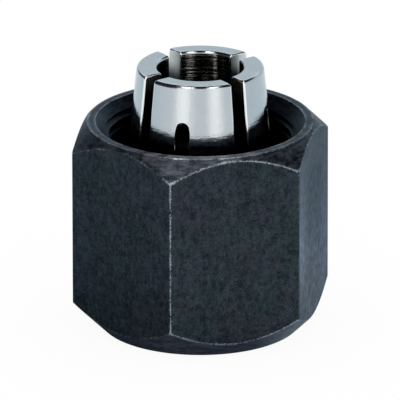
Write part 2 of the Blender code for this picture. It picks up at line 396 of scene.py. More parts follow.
# %% [markdown]
# ## Skins made of rows
# All three pieces are turned round the axis, and what departs from that, such as
# the hexagon or a slot, repeats round it. So each skin is built as rows of
# points round the axis, in millimetres, with four-sided faces between rows. That
# keeps every edge where the tool would leave it and gives even shading, which
# cutting one mesh with another doesn't. Each point also carries its distance
# from the nearest worn edge, for the finish to use.

# %% A class that collects rows
FAR_FROM_EDGE = 3.0


class Skin:
    """Points in millimetres and the faces between them, before they are a mesh."""

    def __init__(self):
        self.points, self.edge_gap, self.faces, self.cuts = [], [], [], []
        self.soft_edges = {}

    def row(self, radius, angle, height, gap=FAR_FROM_EDGE):
        """Adds a row of points and returns their numbers."""
        radius, angle, height, gap = np.broadcast_arrays(radius, angle, height, gap)
        first = len(self.points)
        self.points += zip(radius * np.cos(angle), radius * np.sin(angle), height)
        self.edge_gap += gap.tolist()
        return list(range(first, len(self.points)))

    def span(self, low, high, cut=0):
        """Fills the space between two rows. The cut says which tool left the face."""
        for quad in zip(low, low[1:], high[1:], high):
            self.faces.append(quad)
            self.cuts.append(cut)

    def plate(self, points, cut=0):
        """One flat face over any number of points."""
        self.faces.append(tuple(points))
        self.cuts.append(cut)


print("a point counts as far from an edge at", FAR_FROM_EDGE, "mm")

# %% [markdown]
# Once all its rows are there, a skin becomes an object. Rows may share a place,
# so doubled points are merged first, and then the faces are turned outwards. An
# edge with one face or with three would be a fault, so such edges are counted.
# The last lines say which body the piece rides on, which solid it stands for and
# which material slot it fills.

# %% Make a piece from its rows
MERGE_DISTANCE = 1e-4 * MM


def make_piece(skin, name, node, body, finishes, crease):
    """Turns a skin into an object that stands for a CAD node."""
    mesh = bpy.data.meshes.new(name)
    mesh.from_pydata((np.array(skin.points) * MM).tolist(), [], skin.faces)
    mesh.attributes.new("edge_gap", "FLOAT", "POINT").data.foreach_set("value", skin.edge_gap)
    mesh.polygons.foreach_set("material_index", skin.cuts)
    shape = bmesh.new()
    shape.from_mesh(mesh)
    shape.verts.ensure_lookup_table()
    weight = shape.edges.layers.float.new("bevel_weight_edge")
    for (a, b), softness in skin.soft_edges.items():
        shape.edges.get((shape.verts[a], shape.verts[b]))[weight] = softness
    bmesh.ops.remove_doubles(shape, verts=shape.verts, dist=MERGE_DISTANCE)
    bmesh.ops.dissolve_degenerate(shape, edges=shape.edges, dist=MERGE_DISTANCE)
    bmesh.ops.recalc_face_normals(shape, faces=shape.faces)
    open_edges = sum(len(edge.link_faces) != 2 for edge in shape.edges)
    shape.to_mesh(mesh)
    shape.free()
    mesh.polygons.foreach_set("use_smooth", [True] * len(mesh.polygons))
    mesh.set_sharp_from_angle(angle=math.radians(crease))
    for finish in finishes:
        mesh.materials.append(finish)
    piece = bpy.data.objects.new(name, mesh)
    bpy.context.scene.collection.objects.link(piece)
    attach(piece, body)
    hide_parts(node)
    print(name, "has", len(mesh.polygons), "faces and", open_edges, "open edges")
    return piece


print("points closer than", MERGE_DISTANCE / MM, "mm are merged")

# %% [markdown]
# ## Rounded corners in a section
# No edge on a machined part is perfectly sharp, and the thin bright line that a
# slightly broken edge shows is much of what makes metal look real. This helper
# replaces a corner of a section with a small arc, for all columns of a skin at
# once, because on the nut the corners lie at a different height in every column.

# %% Arcs and runs of a section
def unit(vector):
    """The same direction with length 1."""
    return vector / np.linalg.norm(vector, axis=-1, keepdims=True)


def arc(before, corner, after, radius, steps):
    """Points of an arc of that radius in place of a corner of a section."""
    u, v = unit(before - corner), unit(after - corner)
    half = np.arccos(np.clip((u * v).sum(-1, keepdims=True), -1, 1)) / 2
    centre = corner + unit(u + v) * radius / np.sin(half)
    start_arm = corner + u * radius / np.tan(half) - centre
    end_arm = corner + v * radius / np.tan(half) - centre
    sweep = math.pi - 2 * half
    return [centre + (np.sin((1 - t) * sweep) * start_arm + np.sin(t * sweep) * end_arm)
            / np.sin(sweep) for t in np.linspace(0, 1, steps + 1)]


def run(first, last, near=(), middle=1):
    """Points between two arcs, close together near both ends, and their distance from an end."""
    length = np.linalg.norm(last - first, axis=-1, keepdims=True)
    near = [np.minimum(mm, length * share) for mm, share in near]
    inner = near[-1] if near else length * 0
    places = near + [inner + (length - 2 * inner) * i / middle for i in range(1, middle)]
    places += [length - mm for mm in reversed(near)]
    return [(first + (last - first) * d / length, np.minimum(d, length - d)[..., 0])
            for d in places]


corner_test = [np.array([p]) for p in ((0.0, 1.0), (0.0, 0.0), (1.0, 0.0))]
print("a corner becomes", len(arc(*corner_test, 0.1, 3)), "points")

# %% [markdown]
# ## Hexagon of the nut
# The hexagon measures 24 mm across its flats, and its long corners are rubbed
# round. Seen from the axis its side is nearest in the middle of a flat and
# farthest at a corner, so one radius for each direction describes it. The
# columns crowd together near the corners, where the finish changes fastest. No
# spanner wears a nut evenly, so each corner, and the edges of each flat, are
# spared a little differently.

# %% Columns round the nut
FLAT_RADIUS = 12.0
LONG_CORNER_ROUND = 0.48
CORNER_RUBBED = 0.06
CORNER_SPARED = np.array([0.04, 0.06, 0.02, 0.08, 0.03, 0.12])
FLAT_SPARED = np.array([0.02, 0.04, 0.01, 0.045, -0.025, 0.03])

corner_reach = (FLAT_RADIUS - LONG_CORNER_ROUND) * math.tan(math.pi / 6)
half_flat = [0, 0.55, 1.1, 1.65, 2.2, 2.75, 3.3, 3.85, 4.4, 4.9]
half_flat += [corner_reach - d for d in (1.2, 0.8, 0.5, 0.28, 0.12, 0)]
half_flat = np.arctan(np.array(half_flat) / FLAT_RADIUS)
round_part = np.linspace(half_flat[-1], math.pi / 6, 5)[1:]
half_flat = np.concatenate([half_flat, round_part])
one_flat = np.concatenate([-half_flat[:0:-1], half_flat[:-1]])
nut_angles = np.concatenate([one_flat + math.pi / 6 + k * math.pi / 3 for k in range(6)])


def hexagon_radius(angle):
    """Distance of the hexagon's side from the axis in a direction."""
    turn = np.abs((angle % (math.pi / 3)) - math.pi / 6)
    middle = (FLAT_RADIUS - LONG_CORNER_ROUND) / math.cos(math.pi / 6)
    off = math.pi / 6 - turn
    round_side = middle * np.cos(off) + np.sqrt(
        np.maximum(LONG_CORNER_ROUND ** 2 - (middle * np.sin(off)) ** 2, 0))
    on_flat = FLAT_RADIUS * np.tan(turn) < corner_reach + 1e-6
    return np.where(on_flat, FLAT_RADIUS / np.cos(turn), round_side)


nut_side = hexagon_radius(nut_angles)
off_middle = np.abs((nut_angles % (math.pi / 3)) - math.pi / 6)
round_reach = LONG_CORNER_ROUND * math.pi / 6
on_round = np.arcsin(np.clip(
    nut_side * np.sin(math.pi / 6 - off_middle) / LONG_CORNER_ROUND, 0, 0.5))
corner_gap = np.where(FLAT_RADIUS * np.tan(off_middle) < corner_reach - 1e-6,
                      round_reach + corner_reach - FLAT_RADIUS * np.tan(off_middle),
                      LONG_CORNER_ROUND * on_round) - CORNER_RUBBED
corner_gap = corner_gap + CORNER_SPARED[np.rint(nut_angles / (math.pi / 3)).astype(int) % 6]
flat_gap = FLAT_SPARED[(nut_angles / (math.pi / 3)).astype(int) % 6]
print(len(nut_angles), "columns, radius", nut_side.min().round(3),
      "to", nut_side.max().round(3), "mm")

# %% [markdown]
# ## Outside of the nut
# Both ends of the hexagon bar are turned to a 45 degree cone. Where a cone meets
# the flats it leaves the curved edges that every nut has, high in the middle of
# a flat and low at its corners. The section is therefore worked out for each
# column: front face, cone, flat, cone and rear ring.

# %% Corners of the outside
NUT_HEIGHT = 22.0
FRONT_FACE_RADIUS = 10.35
REAR_RING_OUTER = 11.66
REAR_RING_INNER = 10.83
NOSE_HOLE = 6.5
NOSE_HOLE_CHAMFER = 0.4

columns = len(nut_angles)


def at(radius, height):
    """A corner of the section, for every column."""
    return np.stack(np.broadcast_arrays(np.full(columns, radius), np.full(columns, height)), -1)


# Corners of the section, each with the radius of its arc
outside = [
    (at(NOSE_HOLE + NOSE_HOLE_CHAMFER, 0), 0.06),
    (at(FRONT_FACE_RADIUS, 0), 0.18),
    (np.stack([nut_side, nut_side - FRONT_FACE_RADIUS], -1), 0.14),
    (np.stack([nut_side, NUT_HEIGHT - nut_side + REAR_RING_OUTER], -1), 0.14),
    (at(REAR_RING_OUTER, NUT_HEIGHT), 0.12),
    (at(REAR_RING_INNER, NUT_HEIGHT), 0.11),
]
before_outside = at(NOSE_HOLE, NOSE_HOLE_CHAMFER)
after_outside = at(REAR_RING_INNER - 1, NUT_HEIGHT - 1)
print(len(outside), "corners in each of", columns, "columns")

# %% [markdown]
# Rows run over the arcs of the corners and over the straight parts between them,
# close together near the edges. They follow the curved edges, so that rubbed
# metal can follow them too: a point's distance from the nearest edge counts the
# rows' edges and the long corners. Where edges meet, the rubbing is widest.

# %% Rows of the outside
OUTSIDE_ARC_STEPS = 3
OUTSIDE_MIDDLE_ROWS = (3, 2, 9, 1, 1)
MEETING_WEAR, MEETING_REACH = 0.10, 0.45
# Rows near an edge: their distance from it, and the most that this may be of the straight part
NEAR_EDGE = ((0.12, 0.15), (0.28, 0.25), (0.5, 0.33), (0.8, 0.4))


def section_rows(corners, before, after, steps, near, middles):
    """Rows of a section with rounded corners: (points, distance from the nearest edge)."""
    spots = [before] + [c for c, _ in corners] + [after]
    arcs = [arc(spots[i], spots[i + 1], spots[i + 2], corners[i][1], steps)
            for i in range(len(corners))]
    rows = []
    for i, points in enumerate(arcs):
        rows += [(p, np.zeros(columns)) for p in points]
        if i + 1 < len(arcs):
            rows += run(points[-1], arcs[i + 1][0], near, middles[i])
    return rows


nut_skin = Skin()
outside_rows = []
for points, gap in section_rows(outside, before_outside, after_outside, OUTSIDE_ARC_STEPS,
                                NEAR_EDGE, OUTSIDE_MIDDLE_ROWS):
    on_side = points[:, 0] > nut_side - 1e-6
    meeting = np.exp(-(gap + corner_gap) / MEETING_REACH) * MEETING_WEAR
    gap = np.where(on_side, np.minimum(gap, corner_gap), gap) - meeting + flat_gap
    outside_rows.append(nut_skin.row(points[:, 0], nut_angles, points[:, 1], gap))
for low, high in zip(outside_rows, outside_rows[1:]):
    nut_skin.span(low + low[:1], high + high[:1])
mouth_point = points[0]
print(len(outside_rows), "rows outside, mouth starts at", mouth_point.round(3))

# %% [markdown]
# ## Thread of the nut
# The spindle's fine thread, M20 x 1, is a V groove with a flat root that climbs
# 1 mm a turn. At both ends it runs out into a cone: the countersink at the mouth
# and the side of the relief below. There the larger radius wins.

# %% Shape of the thread
THREAD_MAJOR = 10.0
THREAD_MINOR = 9.459
PITCH = 1.0
FIRST_GROOVE_HEIGHT = 20.85
FIRST_GROOVE_ANGLE = math.radians(143)
RELIEF_RADIUS = 10.2
RELIEF_TOP = 13.33

FLANK_SLOPE = math.tan(math.radians(60))
# Where the crest begins and where the root ends, from the middle of the groove
CREST, ROOT = 0.375, 0.0625


def groove_radius(angle, height):
    """Radius of the thread's surface at a place on the wall."""
    offset = height - FIRST_GROOVE_HEIGHT - PITCH * (angle - FIRST_GROOVE_ANGLE) / (2 * math.pi)
    offset = np.abs((offset / PITCH + 0.5) % 1 - 0.5) * PITCH
    groove = THREAD_MAJOR - np.maximum(offset - ROOT, 0) * FLANK_SLOPE
    return np.maximum(groove, THREAD_MINOR)


def thread_wall(angle, height):
    """Thread, widened by the countersink above and the relief below."""
    countersink = REAR_RING_INNER - (NUT_HEIGHT - height)
    relief = RELIEF_RADIUS - (height - RELIEF_TOP)
    return np.maximum(np.maximum(groove_radius(angle, height), countersink), relief)


print("thread from a radius of", THREAD_MINOR, "to", THREAD_MAJOR, "mm")

# %% [markdown]
# If the rows climb with the groove, the crests and roots of the thread lie
# exactly on rows and stay crisp. A row that would climb past an end is held at
# its circle, where the doubled points merge. After one turn each row meets the
# row that lies one pitch higher, so the rows close onto that one.

# %% Rows that climb with the thread
# Heights of the rows in one pitch, from the middle of the groove
ACROSS_PITCH = (-0.5, -CREST, -0.297, -0.219, -0.141, -ROOT,
                ROOT, 0.141, 0.219, 0.297, CREST)

thread_low, thread_high = RELIEF_TOP, mouth_point[1]
climb = PITCH * (nut_angles - FIRST_GROOVE_ANGLE) / (2 * math.pi)
lowest_turn = math.floor((thread_low - FIRST_GROOVE_HEIGHT - climb.max()) / PITCH) - 1
highest_turn = math.ceil((thread_high - FIRST_GROOVE_HEIGHT - climb.min()) / PITCH) + 1
thread_rows = []
for turn in range(lowest_turn, highest_turn + 1):
    for offset in ACROSS_PITCH:
        height = np.clip(FIRST_GROOVE_HEIGHT + turn * PITCH + offset + climb,
                         thread_low, thread_high)
        from_crest = max(CREST - abs(offset), 0)
        thread_rows.append(
            nut_skin.row(thread_wall(nut_angles, height), nut_angles, height, from_crest))
for i in range(len(thread_rows) - 1):
    closing = [min(i + k + len(ACROSS_PITCH), len(thread_rows) - 1) for k in (0, 1)]
    nut_skin.span(thread_rows[i] + thread_rows[closing[0]][:1],
                  thread_rows[i + 1] + thread_rows[closing[1]][:1], 1)
print(len(thread_rows), "climbing rows,",
      round((thread_high - thread_low) / PITCH, 1), "turns")

# %% [markdown]
# ## Inside of the nut
# Below the thread the nut is bored in steps: the relief where the thread tool
# ran out, a land, the groove that the retaining ring snaps into, another land,
# the cone that presses the collet shut, and the hole for the cutter. Most of it
# is dark and out of sight, but it shows from above through the collet's slots
# and from below, so it is made with the same care.

# %% Rows of the bore
LAND_RADIUS = 8.849
RING_GROOVE_RADIUS = 9.899
RING_GROOVE_TOP, RING_GROOVE_BOTTOM = 10.075, 7.875
RELIEF_BOTTOM = 12.13
SEAT_BOTTOM = 2.0
SEAT_SLOPE = math.tan(math.radians(30))
BORE_ARC_STEPS = 2
BORE_MIDDLE_ROWS = (1, 1, 1, 1, 1, 1, 4, 1)
RELIEF_SPARED, BORE_SPARED = 0.9, 0.4

seat_top = SEAT_BOTTOM + (LAND_RADIUS - NOSE_HOLE) / SEAT_SLOPE
bore = [
    (at(RELIEF_RADIUS, RELIEF_BOTTOM), 0.1),
    (at(LAND_RADIUS, RELIEF_BOTTOM - (RELIEF_RADIUS - LAND_RADIUS)), 0.06),
    (at(LAND_RADIUS, RING_GROOVE_TOP), 0.05),
    (at(RING_GROOVE_RADIUS, RING_GROOVE_TOP), 0.1),
    (at(RING_GROOVE_RADIUS, RING_GROOVE_BOTTOM), 0.1),
    (at(LAND_RADIUS, RING_GROOVE_BOTTOM), 0.05),
    (at(LAND_RADIUS, seat_top), 0.1),
    (at(NOSE_HOLE, SEAT_BOTTOM), 0.1),
    (at(NOSE_HOLE, NOSE_HOLE_CHAMFER), 0.06),
]
bore_rows = [nut_skin.row(RELIEF_RADIUS, nut_angles, RELIEF_TOP, RELIEF_SPARED)]
for points, gap in section_rows(bore, at(RELIEF_RADIUS, RELIEF_TOP),
                                at(NOSE_HOLE + NOSE_HOLE_CHAMFER, 0),
                                BORE_ARC_STEPS, (), BORE_MIDDLE_ROWS):
    bore_rows.append(nut_skin.row(points[:, 0], nut_angles, points[:, 1], gap + BORE_SPARED))
bore_rows.append(outside_rows[0])
for low, high in zip(bore_rows, bore_rows[1:]):
    nut_skin.span(low + low[:1], high + high[:1], 1)
print(len(bore_rows), "rows in the bore, seat from", SEAT_BOTTOM,
      "to", round(seat_top, 2), "mm")

# %% [markdown]
# ## Black oxide
# The nut is blackened steel: a skin of oxide a few thousandths of a millimetre
# thick, dark blue-grey and satin, which keeps the tooth of the steel under it.
# It is made from noises in millimetres, so that its grain has the right size. A
# noise that is stretched in one direction draws lines in that direction, as a
# tool does, and a place's radius and height tell which face it lies on.

# %% Helpers for finishes
def place_in_mm(start):
    """A place on the piece, in millimetres."""
    place = start.node("ShaderNodeTexCoord", output="Object")
    return start.node("ShaderNodeVectorMath", {"operation": "SCALE"}, {0: place, "Scale": 1 / MM})


def noise(start, place, scale, detail=2.0, rough=0.5):
    """Cloudy values round one half."""
    return start.node("ShaderNodeTexNoise", sockets={
        "Vector": place, "Scale": scale, "Detail": detail, "Roughness": rough})


def stretched(start, place, factors):
    """The place for a noise that is drawn out where a factor is small."""
    return start.node("ShaderNodeVectorMath", {"operation": "MULTIPLY"}, {0: place, 1: factors})


def radius_and_height(start, place):
    """Where a place lies in the section of a turned piece."""
    level = stretched(start, place, (1, 1, 0))
    return (start.node("ShaderNodeVectorMath", {"operation": "LENGTH"}, {0: level}, output="Value"),
            start.node("ShaderNodeSeparateXYZ", sockets={0: place}, output="Z"))


def edge_distance(start):
    """The distance from the nearest worn edge, which each point carries."""
    return start.node("ShaderNodeAttribute", {"attribute_name": "edge_gap"}, output="Fac")


print("helpers for finishes ready")

# %% [markdown]
# The flats are milled. Four noises make their look: a fine grain, a mottling,
# faint upright streaks from the cutter, and blotches as wide as a fingertip. The
# oxide is a little greener in some places and a little more violet in others, and
# a few light specks are left where it took badly.

# %% Look of the milled flats
MILLED_DEEP = (0.005, 0.009, 0.012, 1)
GREENER, MORE_VIOLET = (0.032, 0.049, 0.057, 1), (0.038, 0.046, 0.061, 1)
SPECK = (0.14, 0.17, 0.19, 1)
TINT_BORDER = (0.42, 0.58)
SPECK_START, SPECK_SHARPNESS = 0.66, 9.0

oxide, start = new_finish("black_oxide_steel")
place = place_in_mm(start)
grain = noise(start, place, 4.5, 3.0, 0.7)
mottle = noise(start, place, 1.9)
streak = noise(start, stretched(start, place, (2.2, 2.2, 0.6)), 1.0, 3.0, 0.65)
blotch = noise(start, place, 0.5, 3.0, 0.6)
milled_depth = limited((grain - 0.5) * 2.3 + (mottle - 0.5) * 1.3
                       + (streak - 0.5) + (blotch - 0.5) * 0.9 + 0.5)
specks = limited((noise(start, place, 3.2, 4.0, 0.75) - SPECK_START) * SPECK_SHARPNESS)
tint = blended(ramp(noise(start, place, 0.3), *TINT_BORDER), GREENER, MORE_VIOLET)
milled_look = blended(specks, blended(milled_depth, MILLED_DEEP, tint), SPECK)
print("flats from", MILLED_DEEP[:3], "to", GREENER[:3], "or", MORE_VIOLET[:3])

# %% [markdown]
# Both cones and both end faces are turned, not milled: there the mottling gives
# way to rings round the axis and to broader smears. On the side that faces the
# camera they are lighter with a painted sheen, strongest on the rear ring face,
# and the two edges of the ring face are lighter with a painted highlight.

# %% Look of the turned cones and faces
TURNED_DEEP = (0.003, 0.006, 0.011, 1)
# The lighter cone and ring tones are painted: a sheen on the side facing the camera, a highlight
# along the ring's edges
CONE_LIGHT, CONE_PAINTED_SHEEN = (0.051, 0.062, 0.082, 1), (0.074, 0.083, 0.106, 1)
RING_LIGHT, RING_EDGE_HIGHLIGHT = (0.042, 0.056, 0.080, 1), (0.110, 0.128, 0.155, 1)
RING_PAINTED_SHEEN = (0.300, 0.300, 0.310, 1)
PAINTED_SHEEN_SIDE, PAINTED_SHEEN_BORDER = math.radians(253), (0.72, 0.96)
RING_HIGHLIGHT_REACH = (0.30, 0.10)
# A turned face is found by its line in the section, and this far under it
OFF_FACE, ON_FACE = 0.05, 0.02


def turned_depth(start, place):
    """From 0 dark to 1 light on turned oxide: rings from the tool, and the smears by themselves."""
    rings = noise(start, stretched(start, place, (0.7, 0.7, 4.0)), 1.0, 4.0, 0.7)
    smears = noise(start, place, 1.1, 4.0, 0.7)
    return limited((rings - 0.5) * 3.0 + (smears - 0.5) * 2.2 + 0.5), smears


from_axis, height = radius_and_height(start, place)
edge_gap = edge_distance(start)
rear_cone = NUT_HEIGHT + REAR_RING_OUTER
on_ring = ramp(height, NUT_HEIGHT - 0.04, NUT_HEIGHT - ON_FACE)
on_rear_cone = ramp(from_axis + height, rear_cone - OFF_FACE, rear_cone - ON_FACE)
on_front_cone = ramp(from_axis - height, FRONT_FACE_RADIUS - OFF_FACE, FRONT_FACE_RADIUS - ON_FACE)
in_mouth = ramp(from_axis, REAR_RING_INNER + 0.1, REAR_RING_INNER + 0.05)
turned = limited(on_rear_cone + on_ring + on_front_cone + in_mouth)
depth, smears = turned_depth(start, place)
# Painted sheen on the side that faces the camera, and painted highlight along the ring's edges
painted_sheen_aim = Vector((math.cos(PAINTED_SHEEN_SIDE), math.sin(PAINTED_SHEEN_SIDE), 0))
painted_sheen = ramp(towards(start, place, painted_sheen_aim), *PAINTED_SHEEN_BORDER)
cone_light = blended(painted_sheen, CONE_LIGHT, CONE_PAINTED_SHEEN)
ring_light = blended(ramp(edge_gap, *RING_HIGHLIGHT_REACH), RING_LIGHT, RING_EDGE_HIGHLIGHT)
ring_light = blended(painted_sheen, ring_light, RING_PAINTED_SHEEN)
dark = blended(turned, milled_look, blended(depth, TURNED_DEEP, cone_light))
dark = blended(on_ring, dark, blended(depth, TURNED_DEEP, ring_light))
print("turned above a radius and height of", rear_cone, "mm together")

# %% [markdown]
# Along the edges the oxide is rubbed off and bare steel shines through: the
# distance that each point carries is set against a noise, so the rubbing comes
# and goes as it does on a used nut. Hands and spanners also polish the flats
# towards the long corners, most a little above the middle of their height, and
# there the oxide mirrors more. The whole is a dark half-metal whose glancing
# reflections are tinted blue, with a tooth from a Bump node.

# %% Finish of the nut
BARE_STEEL = (0.24, 0.29, 0.33, 1)
OXIDE_GLANCE = (0.72, 0.80, 0.88, 1)
WEAR_START, WEAR_PER_MM, WEAR_SHARPNESS = 0.84, 2.0, 6.0
POLISH_REACH, POLISH_FRONT, POLISH_REAR = (5.0, 1.0), (1, 13), (22, 18)

patchy = noise(start, place, 5.0, 3.0, 0.75)
worn_place = noise(start, place, 0.6)
rubbed = limited((patchy * 1.40 + worn_place * 0.45 - WEAR_START - edge_gap * WEAR_PER_MM)
                 * WEAR_SHARPNESS)
polished = (ramp(edge_gap, *POLISH_REACH) * (1 - turned)
            * ramp(height, *POLISH_FRONT) * (ramp(height, *POLISH_REAR) * 0.6 + 0.4))
roughness = (grain - 0.5) * 0.2 + (smears - 0.5) * 0.6 + 0.41 - rubbed * 0.06 - polished * 0.14
tooth = start.node("ShaderNodeBump", sockets={
    "Strength": 0.5, "Distance": 0.02 * MM, "Height": grain + streak * 0.4})
show(start, start.node("ShaderNodeBsdfPrincipled", sockets={
    "Base Color": blended(rubbed, dark, BARE_STEEL),
    "Metallic": rubbed * 0.2 + 0.65,
    "Roughness": roughness,
    "Specular IOR Level": 0.22,
    "Specular Tint": OXIDE_GLANCE,
    "Normal": tooth}))
print("black oxide has", len(oxide.node_tree.nodes), "nodes")

# %% [markdown]
# Inside, the oxide holds oil and is darkened further with painted shade of the
# nut's inside, so it is far blacker and only the tool's rings give it a little
# life. Two places differ. The countersink at the mouth is left out of that
# painted shade and looks like the outside. The crests of the first turns of the
# thread are rubbed in spots by the spindle, found by their distance from the
# crest and their height.

# %% Finish of the thread and the bore
# The two darkest colours are the oxide with its oil, darkened with painted shade of the nut's
# inside
OXIDE_AND_SHADE_DEEP, OXIDE_AND_SHADE_LIGHT = (0.0005, 0.001, 0.002, 1), (0.003, 0.004, 0.006, 1)
CREST_STEEL = (0.10, 0.10, 0.10, 1)
COUNTERSINK_LIGHT = (0.027, 0.038, 0.051, 1)
WORN_TURNS = (18.6, 20.4)
FILM_GLANCE = (0.76, 0.82, 0.88, 1)

oxide_inside, start = new_finish("oxide_inside_with_painted_shade")
place = place_in_mm(start)
from_axis, height = radius_and_height(start, place)
rings = noise(start, stretched(start, place, (0.3, 0.3, 5.0)), 1.0)
cone_line = REAR_RING_INNER - NUT_HEIGHT
countersunk = ramp(from_axis - height, cone_line + OFF_FACE, cone_line + ON_FACE)
patchy = noise(start, place, 5.0, 3.0, 0.75)
crest_wear = (limited((patchy - 0.52 - edge_distance(start)) * 12.0)
              * ramp(height, *WORN_TURNS) * (1 - countersunk))
# Near-black inside: the oxide with its oil, darkened with painted shade of the nut's inside
oxide_and_shade = blended(crest_wear, blended(rings, OXIDE_AND_SHADE_DEEP, OXIDE_AND_SHADE_LIGHT), CREST_STEEL)
countersink = blended(turned_depth(start, place)[0], TURNED_DEEP, COUNTERSINK_LIGHT)
show(start, start.node("ShaderNodeBsdfPrincipled", sockets={
    "Base Color": blended(countersunk, oxide_and_shade, countersink),
    "Metallic": 1.0,
    "Roughness": (rings - 0.5) * 0.1 + 0.38 - crest_wear * 0.15,
    "Specular Tint": FILM_GLANCE}))
make_piece(nut_skin, "nut_skin", "collet_nut", "nut", [oxide, oxide_inside], 28)

# %% [markdown]
# ## Section of the collet
# The collet is turned as one sleeve: a front cone, a collar, a groove that the
# retaining ring pulls on, and a long slender cone that the spindle squeezes. The
# bore is ground to the shank's 8 mm in front and opened out behind. The first
# cell below fixes the lines of both cones and the heights where the slots' round
# ends begin, the second runs up the outside, over the rear rim and down the bore.

# %% Cones and slot ends
COLLET_FRONT, COLLET_REAR = 0.607, 27.927
COLLAR = 8.449
NOSE, CONE_BOTTOM, CONE_TOP = 6.1, 1.907, 5.975
TAPER_SLOPE = math.tan(math.radians(6.1))
RIM_ROUND = 0.36
REAR_EDGE = COLLET_REAR - RIM_ROUND
REAR_RADIUS = COLLAR - (REAR_EDGE - RING_GROOVE_TOP) * TAPER_SLOPE
SLOT_WIDTH = 1.45
REAR_SLOT_END, FRONT_SLOT_END = 4.607, 23.877


def stepped(first, last, count):
    """Points of a straight part of the section, the last left out."""
    return [tuple(np.add(first, np.subtract(last, first) * i / count)) for i in range(count)]


def radius_at(line, height):
    """Radius of a straight part at a height or at many."""
    return np.interp(height, [z for _, z in line], [r for r, _ in line])


half_slot = SLOT_WIDTH / 2
rear_arch = REAR_SLOT_END + half_slot
front_arch = FRONT_SLOT_END - half_slot
cone = [(NOSE, CONE_BOTTOM), (COLLAR, CONE_TOP)]
taper = [(COLLAR, RING_GROOVE_TOP), (REAR_RADIUS, REAR_EDGE)]
arch_on_cone = (radius_at(cone, rear_arch), rear_arch)
arch_on_taper = (radius_at(taper, front_arch), front_arch)
print("the taper ends at a radius of", round(REAR_RADIUS, 3), "mm")

# %% Points of the section
PULL_GROOVE = 7.299
GROOVE_BOTTOM, GROOVE_TOP = 7.475, RING_GROOVE_TOP
CLAMP_BORE, REAR_BORE = 4.0, 4.45
BORE_RIM, BORE_RIM_ROUND, REAR_BORE_START = 4.75, 0.3, 27.4
STEP_TOP, STEP_BOTTOM = 17.927, 17.477
CLAMP_BORE_END = 0.907
RIM_POINTS = 7

rim = [(REAR_RADIUS - RIM_ROUND * (1 - math.cos(a)), REAR_EDGE + RIM_ROUND * math.sin(a))
       for a in np.linspace(0, math.pi / 2, RIM_POINTS)[1:-1]]
section = [(4.3, COLLET_FRONT), (5.75, COLLET_FRONT), (5.86, 0.65), (6.06, 0.85), (NOSE, 0.95)]
section += stepped(cone[0], arch_on_cone, 7) + stepped(arch_on_cone, cone[1], 2)
section += [(COLLAR - 0.01, 5.95), (COLLAR, 6.02), (COLLAR, 6.6), (COLLAR, 7.2),
            (COLLAR - 0.05, 7.36), (COLLAR - 0.2, GROOVE_BOTTOM)]
section += [(7.34, GROOVE_BOTTOM), (PULL_GROOVE, 7.52), (PULL_GROOVE, 8.7), (PULL_GROOVE, 10.03),
            (7.34, GROOVE_TOP), (COLLAR - 0.06, GROOVE_TOP), (COLLAR - 0.01, 10.12)]
section += stepped((radius_at(taper, 10.4), 10.4), arch_on_taper, 14)
section += stepped(arch_on_taper, taper[1], 8) + [taper[1]] + rim
rows_outside = len(section)
section += [(REAR_RADIUS - RIM_ROUND, COLLET_REAR)]
section += [(BORE_RIM - BORE_RIM_ROUND * math.sin(a),
             COLLET_REAR - BORE_RIM_ROUND * (1 - math.cos(a)))
            for a in np.linspace(0, math.pi / 2, RIM_POINTS)]
section += stepped((REAR_BORE, REAR_BORE_START), (REAR_BORE, front_arch), 6)
section += stepped((REAR_BORE, front_arch), (REAR_BORE, STEP_TOP), 4) + [(REAR_BORE, STEP_TOP)]
section += stepped((CLAMP_BORE, STEP_BOTTOM), (CLAMP_BORE, rear_arch), 8)
section += stepped((CLAMP_BORE, rear_arch), (CLAMP_BORE, CLAMP_BORE_END), 7)
section += [(CLAMP_BORE, CLAMP_BORE_END)]
section = [(float(r), float(z)) for r, z in section]
print(len(section), "points in the collet's section,", rows_outside, "of them outside")

# %% [markdown]
# ## Slots of the collet
# Eight slots, four from each end in turn, let the sleeve close evenly on the
# shank. A slot's two walls are flat and parallel, so seen from the axis the slot
# is wider in angle at the bore than outside. The eight strips between the slots
# follow that: their columns fan out between the two walls. Where a slot has
# ended, a few narrow columns fill the space between strips, and their rows bend
# round the slot's round end.

# %% Strips between the slots
GROUND, MILLED, BORED, BURNISHED = 0, 1, 2, 3
REAR_TURN, FRONT_TURN = 19.3, 57.7

slots = sorted([(REAR_TURN + 90 * k, "rear") for k in range(4)]
               + [(FRONT_TURN + 90 * k, "front") for k in range(4)])
strip_places = np.concatenate([[0], np.linspace(0.13, 0.87, 17), [1]])
row_count = len(section)
first_bored = rows_outside + RIM_POINTS - 1
row_cut = [BORED if first_bored <= i < row_count - 1 else GROUND for i in range(row_count)]

collet_skin = Skin()
strips = []
for i, (turn, _) in enumerate(slots):
    following = slots[(i + 1) % len(slots)][0] + (360 if i + 1 == len(slots) else 0)
    strip = []
    for radius, height in section:
        lean = math.asin(half_slot / radius)
        first, last = math.radians(turn) + lean, math.radians(following) - lean
        strip.append(collet_skin.row(radius, first + (last - first) * strip_places, height))
    for k in range(row_count):
        collet_skin.span(strip[k], strip[(k + 1) % row_count], row_cut[k])
    strips.append(strip)
print(len(strips), "strips of", len(strip_places), "columns")

# %% [markdown]
# The bridges are where the slots stop. A row of a bridge starts on the edge of
# one strip, crosses the few columns of the bridge and ends on the edge of the
# next strip. The rows nearest the slot bow round its end. The slots' edges are
# broken: widest outside on the taper, less in the bore, and least where the
# front slots run down into the nut.

# %% How rows bow and edges break
REAR_STILL, FRONT_STILL = 2.3, 26.6
HIDDEN_BELOW = 12

radii, heights = np.array(section).T
bridge_places = half_slot * -np.cos(np.linspace(0, math.pi, 11))[1:-1]


